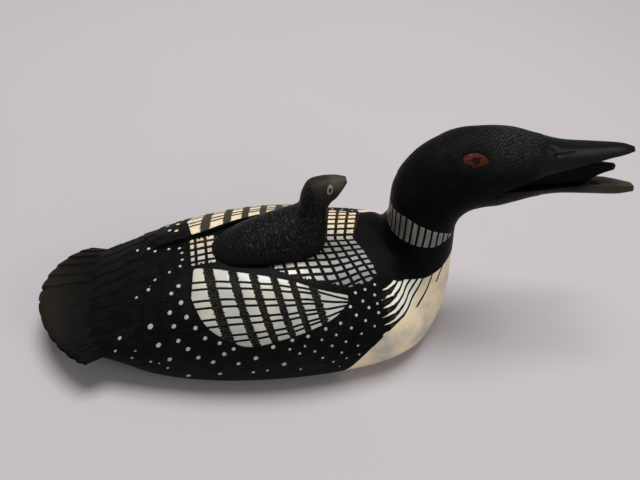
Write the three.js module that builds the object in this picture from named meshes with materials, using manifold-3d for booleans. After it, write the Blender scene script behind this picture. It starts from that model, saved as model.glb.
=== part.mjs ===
// Ivory loon with a chick on its back: a small carved and dyed figure, in millimetres.
// +X runs from the tail to the bill, +Y to the loon's left side, +Z up, and the underside is z = 0.
import * as THREE from 'three';
import { mergeVertices } from 'three/addons/utils/BufferGeometryUtils.js';
import Module from 'manifold-3d';

const wasm = await Module();
wasm.setup();

// Driving dimensions
const MIDDLE_X = 0.745; // x of the middle of the whole length, which becomes the origin
const TAIL_CORNER_X = -53.1;
const TAIL_FAN_LENGTH = 10.63; // from the tail's corners back to the middle of its rear edge
const TAIL_FAN_SKEW = 0.8; // the edge lies this much further back on the left, forward on the right
const TAIL_FAN_HALF_WIDTH = 16.6;
const TAIL_FAN_POINT = 1.5; // 1 for an elliptical rear edge, more for a narrower one
const TAIL_ROOT_X = -43.0;
const TAIL_ROOT_HALF_WIDTH = 12.5;
const TAIL_EDGE_HEIGHT = 8.9; // middle of the tail's thickness at its rear edge
const TAIL_ROOT_HEIGHT = 10.0;
const TAIL_EDGE_THICKNESS = 2.2;
const TAIL_ROOT_THICKNESS = 7.0;
const TAIL_DROOP = 0.3; // how much lower the tail's corners are than its middle
const TAIL_CORNER_POWER = 8; // how square the tail's two sides are, 2 being round
const TAIL_FEATHERS = 14;
const TAIL_FEATHER_STEP = 0.45; // each tail feather stands this much over the next one out
const TAIL_SCALLOP = 0.8; // how far a feather's rounded end stands out
const WING_RAISE = 1.0; // the folded wings stand this much over the back
const WING_SINK = 1.6; // and reach this far into it
const WING_EDGE_DIP = 0.3; // share of the raise by which their outer and front edges dive into the back
const WING_FRONT_POWER = 4; // how suddenly a wing dives at its front
const WING_HIND_X = -41.5; // hindmost place of the rounded wing end
const WING_HIND_ROUNDING = 3.5; // the end's two corners lie this much further forward
const WING_HIND_REACH = 0.66; // how far down the flank a wing reaches, as a share of a quarter turn
const WING_FORE_REACH = 0.88;
const HEAD_TURN = THREE.MathUtils.degToRad(-5); // towards the loon's right side
const HEAD_LEAN = THREE.MathUtils.degToRad(10); // crown towards the loon's left side
const NECK_PIVOT = new THREE.Vector3(18, 0, 33);
const TURN_START_GIRTH = 86; // the neck turns and leans between these two girths
const TURN_END_GIRTH = 112;
const MOUTH_HALF_WIDTH = 12; // more than the head's, so that the gape is open on both sides
const SEAT_GAP = 0.3; // the thin joint under the chick

const BODY_RINGS = 72;
const BODY_ACROSS = 22;
const TAIL_RINGS = 5;
const STEPS_PER_FEATHER = 3;
const WING_RINGS = 14;
const WING_ACROSS = 6;
const CHICK_RINGS = 24;
const CHICK_ACROSS = 9;
const TONGUE_RINGS = 12;
const TONGUE_ACROSS = 6;
const SLOPE_STEP = 0.01; // share of a quarter turn over which the back's slope is read
const WELD_DISTANCE = 1e-4;

// A girth is one ring round the body. at: distance along the bird. top and bottom: its highest and lowest
// point in the middle plane, x and z. half: half its width. waist: how far up the widest place is, 0 to 1.
// over and under: how square its upper and lower halves are, 2 being round.
function girth(name, at, top, bottom, half, { waist = 0.5, over = 2, under = 2 } = {}) {
  return { name, at, top, bottom, half, waist, over, under };
}

const LOON_GIRTHS = [
  girth('tail root', 0, [-57, 9.6], [-57, 7.4], 11.0, { over: 2.4, under: 2.4 }),
  girth('vent', 5, [-52, 12.2], [-52, 5.2], 13.8, { over: 2.4, under: 2.2 }),
  girth('rump end', 11, [-46, 15.6], [-46, 2.4], 15.9, { waist: 0.42, over: 2.4, under: 2.2 }),
  girth('rump', 17, [-40, 18.6], [-40, -0.4], 17.7, { waist: 0.38, over: 2.3, under: 2.5 }),
  girth('wing tips', 26, [-31, 21.8], [-31, -1.6], 19.8, { waist: 0.36, over: 2.2, under: 2.8 }),
  girth('hind back', 37, [-20, 23.6], [-20, -1.8], 21.3, { waist: 0.36, over: 2.2, under: 3 }),
  girth('mid back', 49, [-8, 24.2], [-8, -1.8], 21.7, { waist: 0.35, over: 2.2, under: 3 }),
  girth('fore back', 60, [3, 23.9], [4, -1.8], 20.8, { waist: 0.35, over: 2.1, under: 3 }),
  girth('shoulder', 67, [8.8, 23.8], [13, -1.8], 19.4, { waist: 0.37, over: 2.1, under: 2.8 }),
  girth('crop', 73, [10.8, 24.3], [20.4, -1.6], 16.9, { waist: 0.38, over: 2.2, under: 2.5 }),
  girth('breast foot', 79, [11.5, 25.1], [25.6, -0.8], 13.6, { waist: 0.4, over: 2.2, under: 2.2 }),
  girth('breast', 85, [11.8, 26.4], [28.2, 5], 11.8, { waist: 0.45, over: 2.1 }),
  girth('fore neck', 91, [11.9, 28.2], [28.4, 12], 10.3, { waist: 0.48 }),
  girth('low collar', 97, [11.8, 30.4], [27.5, 18.4], 9.2),
  girth('collar', 103, [11.6, 33.2], [26.8, 24.0], 8.5),
  girth('neck', 109, [11.7, 37.2], [26.3, 28.6], 8.1),
  girth('nape', 115, [13.3, 41.6], [26.6, 31.2], 7.9),
  girth('hind crown', 121, [16.7, 46.0], [28.4, 33.0], 7.8),
  girth('crown', 127, [22.0, 49.4], [31.2, 33.7], 7.5),
  girth('eyes', 133, [28, 51.0], [34.4, 33.9], 6.8),
  girth('forehead', 139, [34.2, 51.2], [38.0, 34.7], 5.7),
  girth('bill root', 145, [40, 50.0], [42.2, 35.8], 4.3, { over: 2.1, under: 2.1 }),
  girth('nostrils', 151, [45.8, 48.9], [47.4, 36.6], 3.3, { over: 2.2, under: 2.3 }),
  girth('bill', 158, [52.6, 48.7], [54.4, 36.6], 2.6, { over: 2.3, under: 2.6 }),
  girth('bill end', 165, [59.0, 48.5], [61.4, 36.5], 1.8, { over: 2.2, under: 3.2 }),
  girth('bill tips', 169, [61.9, 47.8], [65.3, 37.0], 0.9, { under: 4 }),
];

const CHICK_GIRTHS = [
  girth('tail', 0, [-26.3, 23.2], [-26.1, 20.5], 2.6),
  girth('rump', 3, [-23.8, 25.2], [-23.6, 19.5], 5.0, { waist: 0.4 }),
  girth('hind back', 7, [-19.8, 27.7], [-19.8, 19.0], 6.2, { waist: 0.4 }),
  girth('back', 12, [-15, 30.1], [-15, 19.2], 6.6, { waist: 0.42 }),
  girth('shoulder', 17, [-10.8, 32.0], [-9.5, 19.5], 6.4, { waist: 0.44 }),
  girth('breast', 21, [-8.6, 33.4], [-4.2, 20], 5.6, { waist: 0.48 }),
  girth('low neck', 25, [-8.2, 34.9], [-1.9, 24.5], 4.5),
  girth('neck', 29, [-8.2, 36.3], [-1.9, 29.5], 3.5),
  girth('nape', 32, [-7.9, 38.1], [-2.4, 33.2], 3.1),
  girth('crown', 35, [-6.9, 40.3], [-1.8, 35.6], 3.0),
  girth('brow', 38, [-4.3, 41.2], [-0.7, 37.0], 2.7),
  girth('bill root', 40.5, [-1.5, 41.4], [0.2, 38.8], 2.0),
  girth('bill tip', 42.5, [0.7, 41.4], [1.0, 40.2], 0.8),
];

// The gape seen from the side, x and z: along the upper bill's edge and back along the lower bill's.
const GAPE_OUTLINE = [[33.2, 39.8], [41.5, 42.5], [50.2, 44.3], [56.7, 45.9], [62.5, 46.9], [70, 48.4],
  [70, 37.6], [65, 38.6], [58.9, 39.3], [52.6, 39.3], [42.7, 38.8]];

// The tongue, in girths like the body's.
const TONGUE_GIRTHS = [
  girth('root', 0, [38, 43.4], [38, 37.6], 3.0),
  girth('middle', 8, [46, 44.2], [46, 38.4], 2.2, { over: 2.4, under: 2.4 }),
  girth('free part', 14, [52, 44.1], [52.4, 38.9], 1.6, { waist: 0.6, over: 3 }),
  girth('blade', 18, [56, 43.8], [56, 41.4], 1.3, { over: 3, under: 3 }),
  girth('end', 21.5, [58.9, 43.6], [58.7, 42.3], 0.8, { over: 3, under: 3 }),
];

// The wings' inner edge in the plan, x and distance from the middle.
const WING_INNER_EDGE = [[-41, 5.8], [-38, 4.5], [-30, 4.8], [-18, 7.9], [-5, 11.6], [2, 13.7]];

// Value between given points: a cubic through them, its slopes taken from the points on either side.
function smoothBetween(places, values, place) {
  const last = places.length - 1;
  let i = 0;
  while (i < last - 1 && place > places[i + 1]) {
    i += 1;
  }
  const slope = (k) => {
    const before = Math.max(k - 1, 0);
    const after = Math.min(k + 1, last);
    return (values[after] - values[before]) / (places[after] - places[before]);
  };
  const span = places[i + 1] - places[i];
  const u = THREE.MathUtils.clamp((place - places[i]) / span, 0, 1);
  const rise = values[i] * (1 + 2 * u) * (1 - u) ** 2 + values[i + 1] * u * u * (3 - 2 * u);
  const lean = span * (slope(i) * u * (1 - u) ** 2 - slope(i + 1) * u * u * (1 - u));
  return rise + lean;
}

// The ring at any distance along the bird.
function girthAt(girths, at) {
  const places = girths.map((one) => one.at);
  const measure = (read) => smoothBetween(places, girths.map(read), at);
  return {
    at,
    topX: measure((one) => one.top[0]),
    topZ: measure((one) => one.top[1]),
    bottomX: measure((one) => one.bottom[0]),
    bottomZ: measure((one) => one.bottom[1]),
    half: measure((one) => one.half),
    waist: measure((one) => one.waist),
    over: measure((one) => one.over),
    under: measure((one) => one.under),
  };
}

// A point of a girth. side: -1 on the right edge, 0 in the middle, 1 on the left edge; upper or lower half.
function girthPoint(ring, side, isUpper) {
  const reach = Math.sin(side * Math.PI / 2);
  const power = isUpper ? ring.over : ring.under;
  const swell = (1 - Math.abs(reach) ** power) ** (1 / power);
  const up = isUpper ? ring.waist + (1 - ring.waist) * swell : ring.waist * (1 - swell);
  return new THREE.Vector3(
    THREE.MathUtils.lerp(ring.bottomX, ring.topX, up),
    reach * ring.half,
    THREE.MathUtils.lerp(ring.bottomZ, ring.topZ, up),
  );
}

// Turns and leans a point of the upright head about the neck, by a share from 0 to 1 of the whole.
function poseHead(point, share) {
  const offset = point.clone().sub(NECK_PIVOT);
  offset.applyAxisAngle(new THREE.Vector3(1, 0, 0), -HEAD_LEAN * share);
  offset.applyAxisAngle(new THREE.Vector3(0, 0, 1), HEAD_TURN * share);
  return offset.add(NECK_PIVOT);
}

// Triangles of the wall that joins one ring of points to the next.
function wallTriangles(ringTotal, count) {
  const triangles = [];
  for (let r = 0; r < ringTotal - 1; r += 1) {
    for (let k = 0; k < count; k += 1) {
      const a = r * count + k;
      const b = r * count + (k + 1) % count;
      triangles.push(a, a + count, b, b, a + count, b + count);
    }
  }
  return triangles;
}

function pointsToGeometry(points, triangles) {
  const geometry = new THREE.BufferGeometry();
  geometry.setAttribute('position', new THREE.Float32BufferAttribute(
    points.flatMap((point) => [point.x, point.y, point.z]),
    3,
  ));
  geometry.setIndex(triangles);
  return geometry;
}

// Closed surface over rings of points. Every ring runs over its upper half from right to left and back
// along its lower half, and each end is closed by a strip between the two halves.
function ringsToGeometry(rings, across) {
  const count = across * 2;
  const triangles = wallTriangles(rings.length, count);
  const addEnd = (first, isFront) => {
    for (let k = 0; k < across; k += 1) {
      const upper = [first + k, first + k + 1];
      const lower = [first + (count - k) % count, first + count - k - 1];
      const faces = [[upper[0], lower[0], upper[1]], [upper[1], lower[0], lower[1]]];
      for (const [p, q, s] of faces) {
        if (p !== q && q !== s && p !== s) {
          triangles.push(...(isFront ? [p, q, s] : [p, s, q]));
        }
      }
    }
  };
  addEnd(0, false);
  addEnd((rings.length - 1) * count, true);
  return pointsToGeometry(rings.flat(), triangles);
}

// Closed surface over rings of points, each end closed by a fan about its middle.
function stackToGeometry(rings) {
  const count = rings[0].length;
  const points = rings.flat();
  const triangles = wallTriangles(rings.length, count);
  const addEnd = (ring, first, isFront) => {
    const middle = new THREE.Vector3();
    ring.forEach((point) => middle.addScaledVector(point, 1 / count));
    points.push(middle);
    for (let k = 0; k < count; k += 1) {
      const a = first + k;
      const b = first + (k + 1) % count;
      triangles.push(points.length - 1, ...(isFront ? [b, a] : [a, b]));
    }
  };
  addEnd(rings[0], 0, false);
  addEnd(rings[rings.length - 1], (rings.length - 1) * count, true);
  return pointsToGeometry(points, triangles);
}

// Surface swept over girths; place gives each point its last position from its distance along the bird.
function sweepGeometry(girths, ringCount, across, place) {
  const length = girths[girths.length - 1].at;
  const rings = [];
  for (let r = 0; r <= ringCount; r += 1) {
    const here = girthAt(girths, length * r / ringCount);
    const ring = [];
    for (let k = 0; k <= across; k += 1) {
      ring.push(place(girthPoint(here, 2 * k / across - 1, true), here.at));
    }
    for (let k = across - 1; k > 0; k -= 1) {
      ring.push(place(girthPoint(here, 2 * k / across - 1, false), here.at));
    }
    rings.push(ring);
  }
  return ringsToGeometry(rings, across);
}

function toSolid(geometry) {
  const plain = geometry.index ? geometry.clone() : geometry.toNonIndexed();
  plain.deleteAttribute('normal');
  plain.deleteAttribute('uv');
  const merged = mergeVertices(plain, WELD_DISTANCE);
  return new wasm.Manifold(new wasm.Mesh({
    numProp: 3,
    vertProperties: new Float32Array(merged.attributes.position.array),
    triVerts: new Uint32Array(merged.index.array),
  }));
}

function toGeometry(solid) {
  const mesh = solid.getMesh();
  const geometry = new THREE.BufferGeometry();
  geometry.setAttribute('position', new THREE.BufferAttribute(new Float32Array(mesh.vertProperties), 3));
  geometry.setIndex(new THREE.BufferAttribute(new Uint32Array(mesh.triVerts), 1));
  geometry.computeVertexNormals();
  return geometry;
}

// Body, neck and head in one sweep, with the underside cut flat at z = 0.
function bodyPlace(point, at) {
  const share = THREE.MathUtils.smoothstep(at, TURN_START_GIRTH, TURN_END_GIRTH);
  const placed = poseHead(point, share);
  placed.z = Math.max(placed.z, 0);
  return placed;
}

// Fan of tail feathers: each stands a step over the next one out and ends in a rounded tip.
function tailGeometry() {
  const across = TAIL_FEATHERS * STEPS_PER_FEATHER;
  const rings = [];
  for (let r = 0; r <= TAIL_RINGS; r += 1) {
    const back = 1 - r / TAIL_RINGS;
    const tailPoint = (k, isUpper) => {
      const side = 2 * k / across - 1;
      const reach = Math.sin(side * Math.PI / 2);
      const withinFeather = (Math.abs(side) * TAIL_FEATHERS / 2) % 1;
      const scallop = TAIL_SCALLOP * Math.sqrt(1 - (2 * withinFeather - 1) ** 2);
      const fan = TAIL_FAN_LENGTH * Math.cos(side * Math.PI / 2) ** TAIL_FAN_POINT;
      const edgeX = TAIL_CORNER_X - fan - TAIL_FAN_SKEW * Math.sin(side * Math.PI);
      const edge = new THREE.Vector2(edgeX, reach * TAIL_FAN_HALF_WIDTH);
      const root = new THREE.Vector2(TAIL_ROOT_X, reach * TAIL_ROOT_HALF_WIDTH);
      const outwards = edge.clone().sub(root).normalize();
      const plan = root.lerp(edge.addScaledVector(outwards, scallop - TAIL_SCALLOP), back);
      const height = THREE.MathUtils.lerp(TAIL_ROOT_HEIGHT, TAIL_EDGE_HEIGHT, back);
      const middle = height - TAIL_DROOP * reach * reach;
      const thickness = THREE.MathUtils.lerp(TAIL_ROOT_THICKNESS, TAIL_EDGE_THICKNESS, back);
      const rounding = Math.sqrt(Math.max(1 - reach ** TAIL_CORNER_POWER, 0));
      const step = TAIL_FEATHER_STEP * (0.5 - withinFeather) * back;
      const lift = thickness / 2 * rounding + step * rounding;
      return new THREE.Vector3(plan.x, plan.y, middle + (isUpper ? lift : -lift));
    };
    const ring = [];
    for (let k = 0; k <= across; k += 1) {
      ring.push(tailPoint(k, true));
    }
    for (let k = across - 1; k > 0; k -= 1) {
      ring.push(tailPoint(k, false));
    }
    rings.push(ring);
  }
  return ringsToGeometry(rings, across);
}

// Folded wing lying on the back. turnSide: 1 for the loon's left wing, -1 for its right one.
function wingGeometry(turnSide) {
  const innerX = WING_INNER_EDGE.map((point) => point[0]);
  const innerY = WING_INNER_EDGE.map((point) => point[1]);
  const frontX = innerX[innerX.length - 1];
  const wingPoint = (along, across, isUpper) => {
    const hindX = WING_HIND_X + WING_HIND_ROUNDING * (2 * across - 1) ** 2;
    const x = THREE.MathUtils.lerp(hindX, frontX, along);
    const here = girthAt(LOON_GIRTHS, x - LOON_GIRTHS[0].top[0]);
    const inner = 2 / Math.PI * Math.asin(smoothBetween(innerX, innerY, x) / here.half);
    const outer = THREE.MathUtils.lerp(WING_HIND_REACH, WING_FORE_REACH, Math.sqrt(along));
    const side = THREE.MathUtils.lerp(inner, outer, across);
    const point = girthPoint(here, side, true);
    const near = girthPoint(here, side - SLOPE_STEP, true);
    const slope = Math.atan2(near.z - point.z, point.y - near.y);
    const fade = (1 - across ** 2) * (1 - along ** WING_FRONT_POWER);
    const lift = isUpper ? WING_RAISE * ((1 + WING_EDGE_DIP) * fade - WING_EDGE_DIP) : -WING_SINK;
    return new THREE.Vector3(
      point.x,
      turnSide * (point.y + lift * Math.sin(slope)),
      point.z + lift * Math.cos(slope),
    );
  };
  const rings = [];
  for (let r = 0; r <= WING_RINGS; r += 1) {
    const upper = [];
    const lower = [];
    for (let k = 0; k <= WING_ACROSS; k += 1) {
      upper.push(wingPoint(r / WING_RINGS, k / WING_ACROSS, true));
      lower.push(wingPoint(r / WING_RINGS, k / WING_ACROSS, false));
    }
    if (turnSide < 0) {
      upper.reverse();
      lower.reverse();
    }
    rings.push([...upper, ...lower.reverse()]);
  }
  return stackToGeometry(rings);
}

// Wedge between the two halves of the open bill.
function gapeGeometry() {
  const shape = new THREE.Shape(GAPE_OUTLINE.map(([x, z]) => new THREE.Vector2(x, z)));
  const geometry = new THREE.ExtrudeGeometry(shape, { depth: 2 * MOUTH_HALF_WIDTH, bevelEnabled: false });
  geometry.rotateX(Math.PI / 2);
  geometry.translate(0, MOUTH_HALF_WIDTH, 0);
  const position = geometry.attributes.position;
  for (let i = 0; i < position.count; i += 1) {
    const point = poseHead(new THREE.Vector3().fromBufferAttribute(position, i), 1);
    position.setXYZ(i, point.x, point.y, point.z);
  }
  return geometry;
}

function toMesh(name, solid, material) {
  const geometry = toGeometry(solid);
  geometry.translate(-MIDDLE_X, 0, 0);
  const mesh = new THREE.Mesh(geometry, material);
  mesh.name = name;
  return mesh;
}

const bodyGeometry = sweepGeometry(LOON_GIRTHS, BODY_RINGS, BODY_ACROSS, bodyPlace);
const body = toSolid(bodyGeometry);
const tail = toSolid(tailGeometry());
const wings = toSolid(wingGeometry(1)).add(toSolid(wingGeometry(-1)));
const tongue = toSolid(sweepGeometry(
  TONGUE_GIRTHS,
  TONGUE_RINGS,
  TONGUE_ACROSS,
  (point) => poseHead(point, 1),
));
const loon = body.add(tail).add(wings).subtract(toSolid(gapeGeometry())).add(tongue);

const seat = toSolid(bodyGeometry.clone().translate(0, 0, SEAT_GAP));
const chick = toSolid(sweepGeometry(
  CHICK_GIRTHS,
  CHICK_RINGS,
  CHICK_ACROSS,
  (point) => point,
)).subtract(seat);

const dyedIvory = new THREE.MeshStandardMaterial({ color: 0x1b1b18, roughness: 0.45, metalness: 0 });
const dyedChick = new THREE.MeshStandardMaterial({ color: 0x24231f, roughness: 0.5, metalness: 0 });

const figure = new THREE.Group();
figure.add(toMesh('loon', loon, dyedIvory));
figure.add(toMesh('chick', chick, dyedChick));

export default figure;
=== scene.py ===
"""Ivory loon carving with a chick on its back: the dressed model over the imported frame.

Lengths inside the shape functions are millimetres, with +X from tail to bill, +Y to the loon's left, +Z up
and the underside at z = 0. Meshes are stored in metres.
"""
import math
from functools import reduce
from types import SimpleNamespace

import bpy
import numpy as np
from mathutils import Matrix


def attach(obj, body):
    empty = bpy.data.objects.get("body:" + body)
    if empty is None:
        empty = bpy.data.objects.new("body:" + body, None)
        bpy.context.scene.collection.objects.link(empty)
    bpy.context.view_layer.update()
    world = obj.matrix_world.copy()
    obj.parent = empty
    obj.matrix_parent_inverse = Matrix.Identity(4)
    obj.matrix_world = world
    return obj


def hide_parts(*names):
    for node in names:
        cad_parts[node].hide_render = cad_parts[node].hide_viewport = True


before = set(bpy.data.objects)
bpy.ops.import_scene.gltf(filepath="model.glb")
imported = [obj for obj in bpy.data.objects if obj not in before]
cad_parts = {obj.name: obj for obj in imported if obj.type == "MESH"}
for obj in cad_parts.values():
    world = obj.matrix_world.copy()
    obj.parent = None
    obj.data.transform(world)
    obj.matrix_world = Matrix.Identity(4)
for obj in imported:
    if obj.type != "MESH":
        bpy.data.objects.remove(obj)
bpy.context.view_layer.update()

bl_info = {
    "name": "Ivory Loon Carving",
    "version": (1, 0, 0),
    "blender": (4, 5, 0),
    "location": "3D View > Sidebar > Carving",
    "description": "Builds a carved and dyed ivory loon that carries its chick",
    "category": "Add Mesh",
}

MM = 0.001
MIDDLE_X = 0.745  # x of the middle of the whole length, which is the frame's origin

# Rings round the loon. Columns: distance along the bird, x and z of the highest point, x and z of the
# lowest point, half width, height share of the widest place, squareness of the upper and lower halves.
LOON_RINGS = np.array([
    [0, -57, 9.6, -57, 7.4, 11.0, 0.5, 2.4, 2.4],
    [5, -52, 12.2, -52, 5.2, 13.8, 0.5, 2.4, 2.2],
    [11, -46, 15.6, -46, 2.4, 15.9, 0.42, 2.4, 2.2],
    [17, -40, 18.6, -40, -0.4, 17.7, 0.38, 2.3, 2.5],
    [26, -31, 21.8, -31, -1.6, 19.8, 0.36, 2.2, 2.8],
    [37, -20, 23.6, -20, -1.8, 21.3, 0.36, 2.2, 3],
    [49, -8, 24.2, -8, -1.8, 21.7, 0.35, 2.2, 3],
    [60, 3, 23.9, 4, -1.8, 20.8, 0.35, 2.1, 3],
    [67, 8.8, 23.8, 13, -1.8, 19.4, 0.37, 2.1, 2.8],
    [73, 10.8, 24.3, 20.4, -1.6, 16.9, 0.38, 2.2, 2.5],
    [79, 11.5, 25.1, 25.6, -0.8, 13.6, 0.4, 2.2, 2.2],
    [85, 11.8, 26.4, 28.2, 5, 11.8, 0.45, 2.1, 2],
    [91, 11.9, 28.2, 28.4, 12, 10.3, 0.48, 2, 2],
    [97, 11.8, 30.4, 27.5, 18.4, 9.2, 0.5, 2, 2],
    [103, 11.6, 33.2, 26.8, 24.0, 8.5, 0.5, 2, 2],
    [109, 11.7, 37.2, 26.3, 28.6, 8.1, 0.5, 2, 2],
    [115, 13.3, 41.6, 26.6, 31.2, 7.9, 0.5, 2, 2],
    [121, 16.7, 46.0, 28.4, 33.0, 7.8, 0.5, 2, 2],
    [127, 22.0, 49.4, 31.2, 33.7, 7.5, 0.5, 2, 2],
    [133, 28, 51.0, 34.4, 33.9, 6.8, 0.5, 2, 2],
    [139, 34.2, 51.2, 38.0, 34.7, 5.7, 0.5, 2, 2],
    [145, 40, 50.0, 42.2, 35.8, 4.3, 0.5, 2.1, 2.1],
    [151, 45.8, 48.9, 47.4, 36.6, 3.3, 0.5, 2.2, 2.3],
    [158, 52.6, 48.7, 54.4, 36.6, 2.6, 0.5, 2.3, 2.6],
    [165, 59.0, 48.5, 61.4, 36.5, 1.8, 0.5, 2.2, 3.2],
    [169, 61.9, 47.8, 65.3, 37.0, 0.9, 0.5, 2, 4],
])
CHICK_RINGS = np.array([
    [0, -26.3, 23.2, -26.1, 20.5, 2.6, 0.5, 2, 2],
    [3, -23.8, 25.2, -23.6, 19.5, 5.0, 0.4, 2, 2],
    [7, -19.8, 27.7, -19.8, 19.0, 6.2, 0.4, 2, 2],
    [12, -15, 30.1, -15, 19.2, 6.6, 0.42, 2, 2],
    [17, -10.8, 32.0, -9.5, 19.5, 6.4, 0.44, 2, 2],
    [21, -8.6, 33.4, -4.2, 20, 5.6, 0.48, 2, 2],
    [25, -8.2, 34.9, -1.9, 24.5, 4.5, 0.5, 2, 2],
    [29, -8.2, 36.3, -1.9, 29.5, 3.5, 0.5, 2, 2],
    [32, -7.9, 38.1, -2.4, 33.2, 3.1, 0.5, 2, 2],
    [35, -6.9, 40.3, -1.8, 35.6, 3.0, 0.5, 2, 2],
    [38, -4.3, 41.2, -0.7, 37.0, 2.7, 0.5, 2, 2],
    [40.5, -1.5, 41.4, 0.2, 38.8, 2.0, 0.5, 2, 2],
    [42.5, 0.7, 41.4, 1.0, 40.2, 0.8, 0.5, 2, 2],
])
TONGUE_RINGS = np.array([
    [0, 38, 43.4, 38, 37.6, 3.0, 0.5, 2, 2],
    [8, 46, 44.2, 46, 38.4, 2.2, 0.5, 2.4, 2.4],
    [14, 52, 44.1, 52.4, 38.9, 1.6, 0.6, 3, 2],
    [18, 56, 43.8, 56, 41.4, 1.3, 0.5, 3, 3],
    [21.5, 58.9, 43.6, 58.7, 42.3, 0.8, 0.5, 3, 3],
])
# The gape in the bill seen from the side: along the upper bill's edge and back along the lower bill's.
GAPE_OUTLINE = np.array([
    [33.2, 39.8], [41.5, 42.5], [50.2, 44.3], [56.7, 45.9], [62.5, 46.9], [70, 48.4],
    [70, 37.6], [65, 38.6], [58.9, 39.3], [52.6, 39.3], [42.7, 38.8],
])
MOUTH_HALF_WIDTH = 12.0
CHICK_JOINT = 0.3
SHARP_ANGLE = 48
EYE_X, EYE_Z = 25.7, 46.8
EYE_HALF_LENGTH, EYE_HALF_HEIGHT = 2.5, 1.25
NOSTRIL_X, NOSTRIL_Z = 43.9, 46.75
CHICK_EYE_X, CHICK_EYE_Z, CHICK_EYE_SLANT = -2.85, 40.15, 0.15
CHICK_EYE_HALF_LENGTH, CHICK_EYE_HALF_HEIGHT = 0.45, 0.62

HEAD_TURN = math.radians(-5)
HEAD_LEAN = math.radians(10)
NECK_PIVOT = np.array([18.0, 0.0, 33.0])
TURN_PLACES = (86.0, 112.0)  # the neck turns and leans between these two places along the bird
RING_OFFSET = 57.0  # a ring at x on the back lies x + this far along the bird

# The folded wings' inner edge in the plan: x, and distance from the middle.
WING_EDGE = np.array([[-41, 5.8], [-38, 4.5], [-30, 4.8], [-18, 7.9], [-5, 11.6], [2, 13.7]])
WING_HIND = (-41.5, 3.5)
WING_REACH = (0.66, 0.88)
WING_DIP = 0.3

# Lower edge of each wing's pale patch, in x and arc length down from the middle of the back.
PATCH_LOWER = np.array([
    [-31.3, 10.5], [-28.9, 16.4], [-25.3, 20.2], [-20.2, 23.0], [-13.6, 22.4], [-6, 20.4], [-1.8, 18.2],
    [1.0, 15.4],
])
PATCH_LOWER_SLOPE = 0.8
PATCH_REAR_X, PATCH_REAR_SLANT, PATCH_REAR_Q = -30.0, 0.14, 4
PATCH_FRONT_X = 0.9

# Curves of the pattern. Each is a row of places along x and a row of its values there.
BAND_NUMBERS = ((-29.9, -27.5, -22.8, -19.0, -15.0, -11.6, -7.6, -5.8), (-0.45, 0, 1, 2, 3, 4, 5, 5.45))
PATCH_TOP_GAP = ((-28, -22, -10, -6, -3, 0.9), (0.1, 0.5, 0.55, 1.0, 0.7, 0.1))
FIRST_LINE_GAP = ((-30, -22, -14, -8, -2), (1.0, 0.8, 0.2, 0.2, 0.6))
LAST_LINE = ((-31, -18, -12, -7, -3.5, 0.2, 1.5), (23.4, 23.4, 22.6, 20.9, 19.6, 17.6, 16.9))
NET_HALF_WIDTH = ((-31, -25.5, -24.3, -15.6, -14.4, -11.4, -7, -4.5, -1.6, 1.8, 4, 6.6, 8.4),
                  (3.3, 3.5, 2.6, 2.6, 7.3, 8.9, 10.2, 10.6, 11.3, 11.9, 11.5, 10.6, 9.8))
COLLAR_TOP = ((11.7, 13.6, 17.3, 21.8, 24.6), (33.3, 33.5, 32.2, 30.6, 29.2))
COLLAR_BOTTOM = ((11.7, 13.9, 19.9, 24.6), (27.8, 28.3, 27.9, 29.2))
CAPE_HEM = ((9, 12, 13.5, 15, 19, 22, 25.5, 28), (22.0, 21.1, 20.5, 20.4, 20.7, 21.8, 23.6, 24.5))

# Where markings begin and end, counted along the bird as in LOON_RINGS.
DOTS_END, BACK_END = 80, 82
COLLAR_STRETCH = (85, 112)
STRIPS_STRETCH = (62, 106)
RIM_STRETCH = (58, 82)
HEAD_FADE = (106.0, 112.0)
OUTSIDE = -5.0  # the place of a marking where it isn't drawn at all

BAND_BEND = 0.008  # the wing's bands lie this times the square of the arc length further forward
NET_COLUMN = 2.15
NET_FRONT_COLUMN_X = 4.7
NET_FRONT_X, NET_FRONT_SLANT = 4.6, 0.38
NET_REAR_X = -31
NET_LEAN, NET_LEAN_GROWTH, NET_FAR_LEAN = 0.33, 0.018, 0.7
NET_FAR_ROW, NET_FAR_ROW_LOSS = 2.08, 0.02
NET_NEAR_ROW, NET_NEAR_ROW_LOSS = 1.66, 0.38
NET_ROW = 1.5  # middling height of a row, for the width of the lines between rows
BAR_START, BAR_STEP = 1.6, 1.66
STRIP_START, STRIP_STEP = 0.445, 0.0635  # shares of a quarter turn down from the back
STRIP_BEND, STRIP_BEND_AT = 0.00036, 70
STRIP_LINE = 0.17
STRIPS_REAR_X = 8.2
BREAST_REAR_X = 8.5
FLANK_HEM, FLANK_HEM_DROP, FLANK_HEM_X = 15.3, 0.057, 15.5
FAR_RIM = (10.8, 13.4)  # arc lengths between which the far shoulder's rim is bare
FAR_RIM_FRONT_X = 17
LINE_PAIR = 0.22  # the wing's thin lines repeat after this share of the span
LINE_STARTS = (0.13, 0.215)
# The two single lines on the breast: strip number, its lean, half width, height and slope of the lower end.
LONG_LINE = (5.0, 0.045, 0.17, 14.2, 0.5)
SHORT_LINE = (2.2, 0.3, 0.26, 18.8, 0.3)

# Tail fan: its corner, how far its middle stands out behind that, and how much it is fuller on the near side.
TAIL_CORNER_X, TAIL_CORNER_Y = -53.1, 16.6
TAIL_FAN_LENGTH = 10.63
TAIL_FAN_SKEW = 0.8
TAIL_ROOT_X, TAIL_ROOT_Y = -43.0, 12.5
TAIL_ROOT_Z, TAIL_END_Z = 10.0, 8.9
TAIL_ROOT_THICKNESS, TAIL_END_THICKNESS = 7, 2.2
TAIL_DROOP = 0.3

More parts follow.
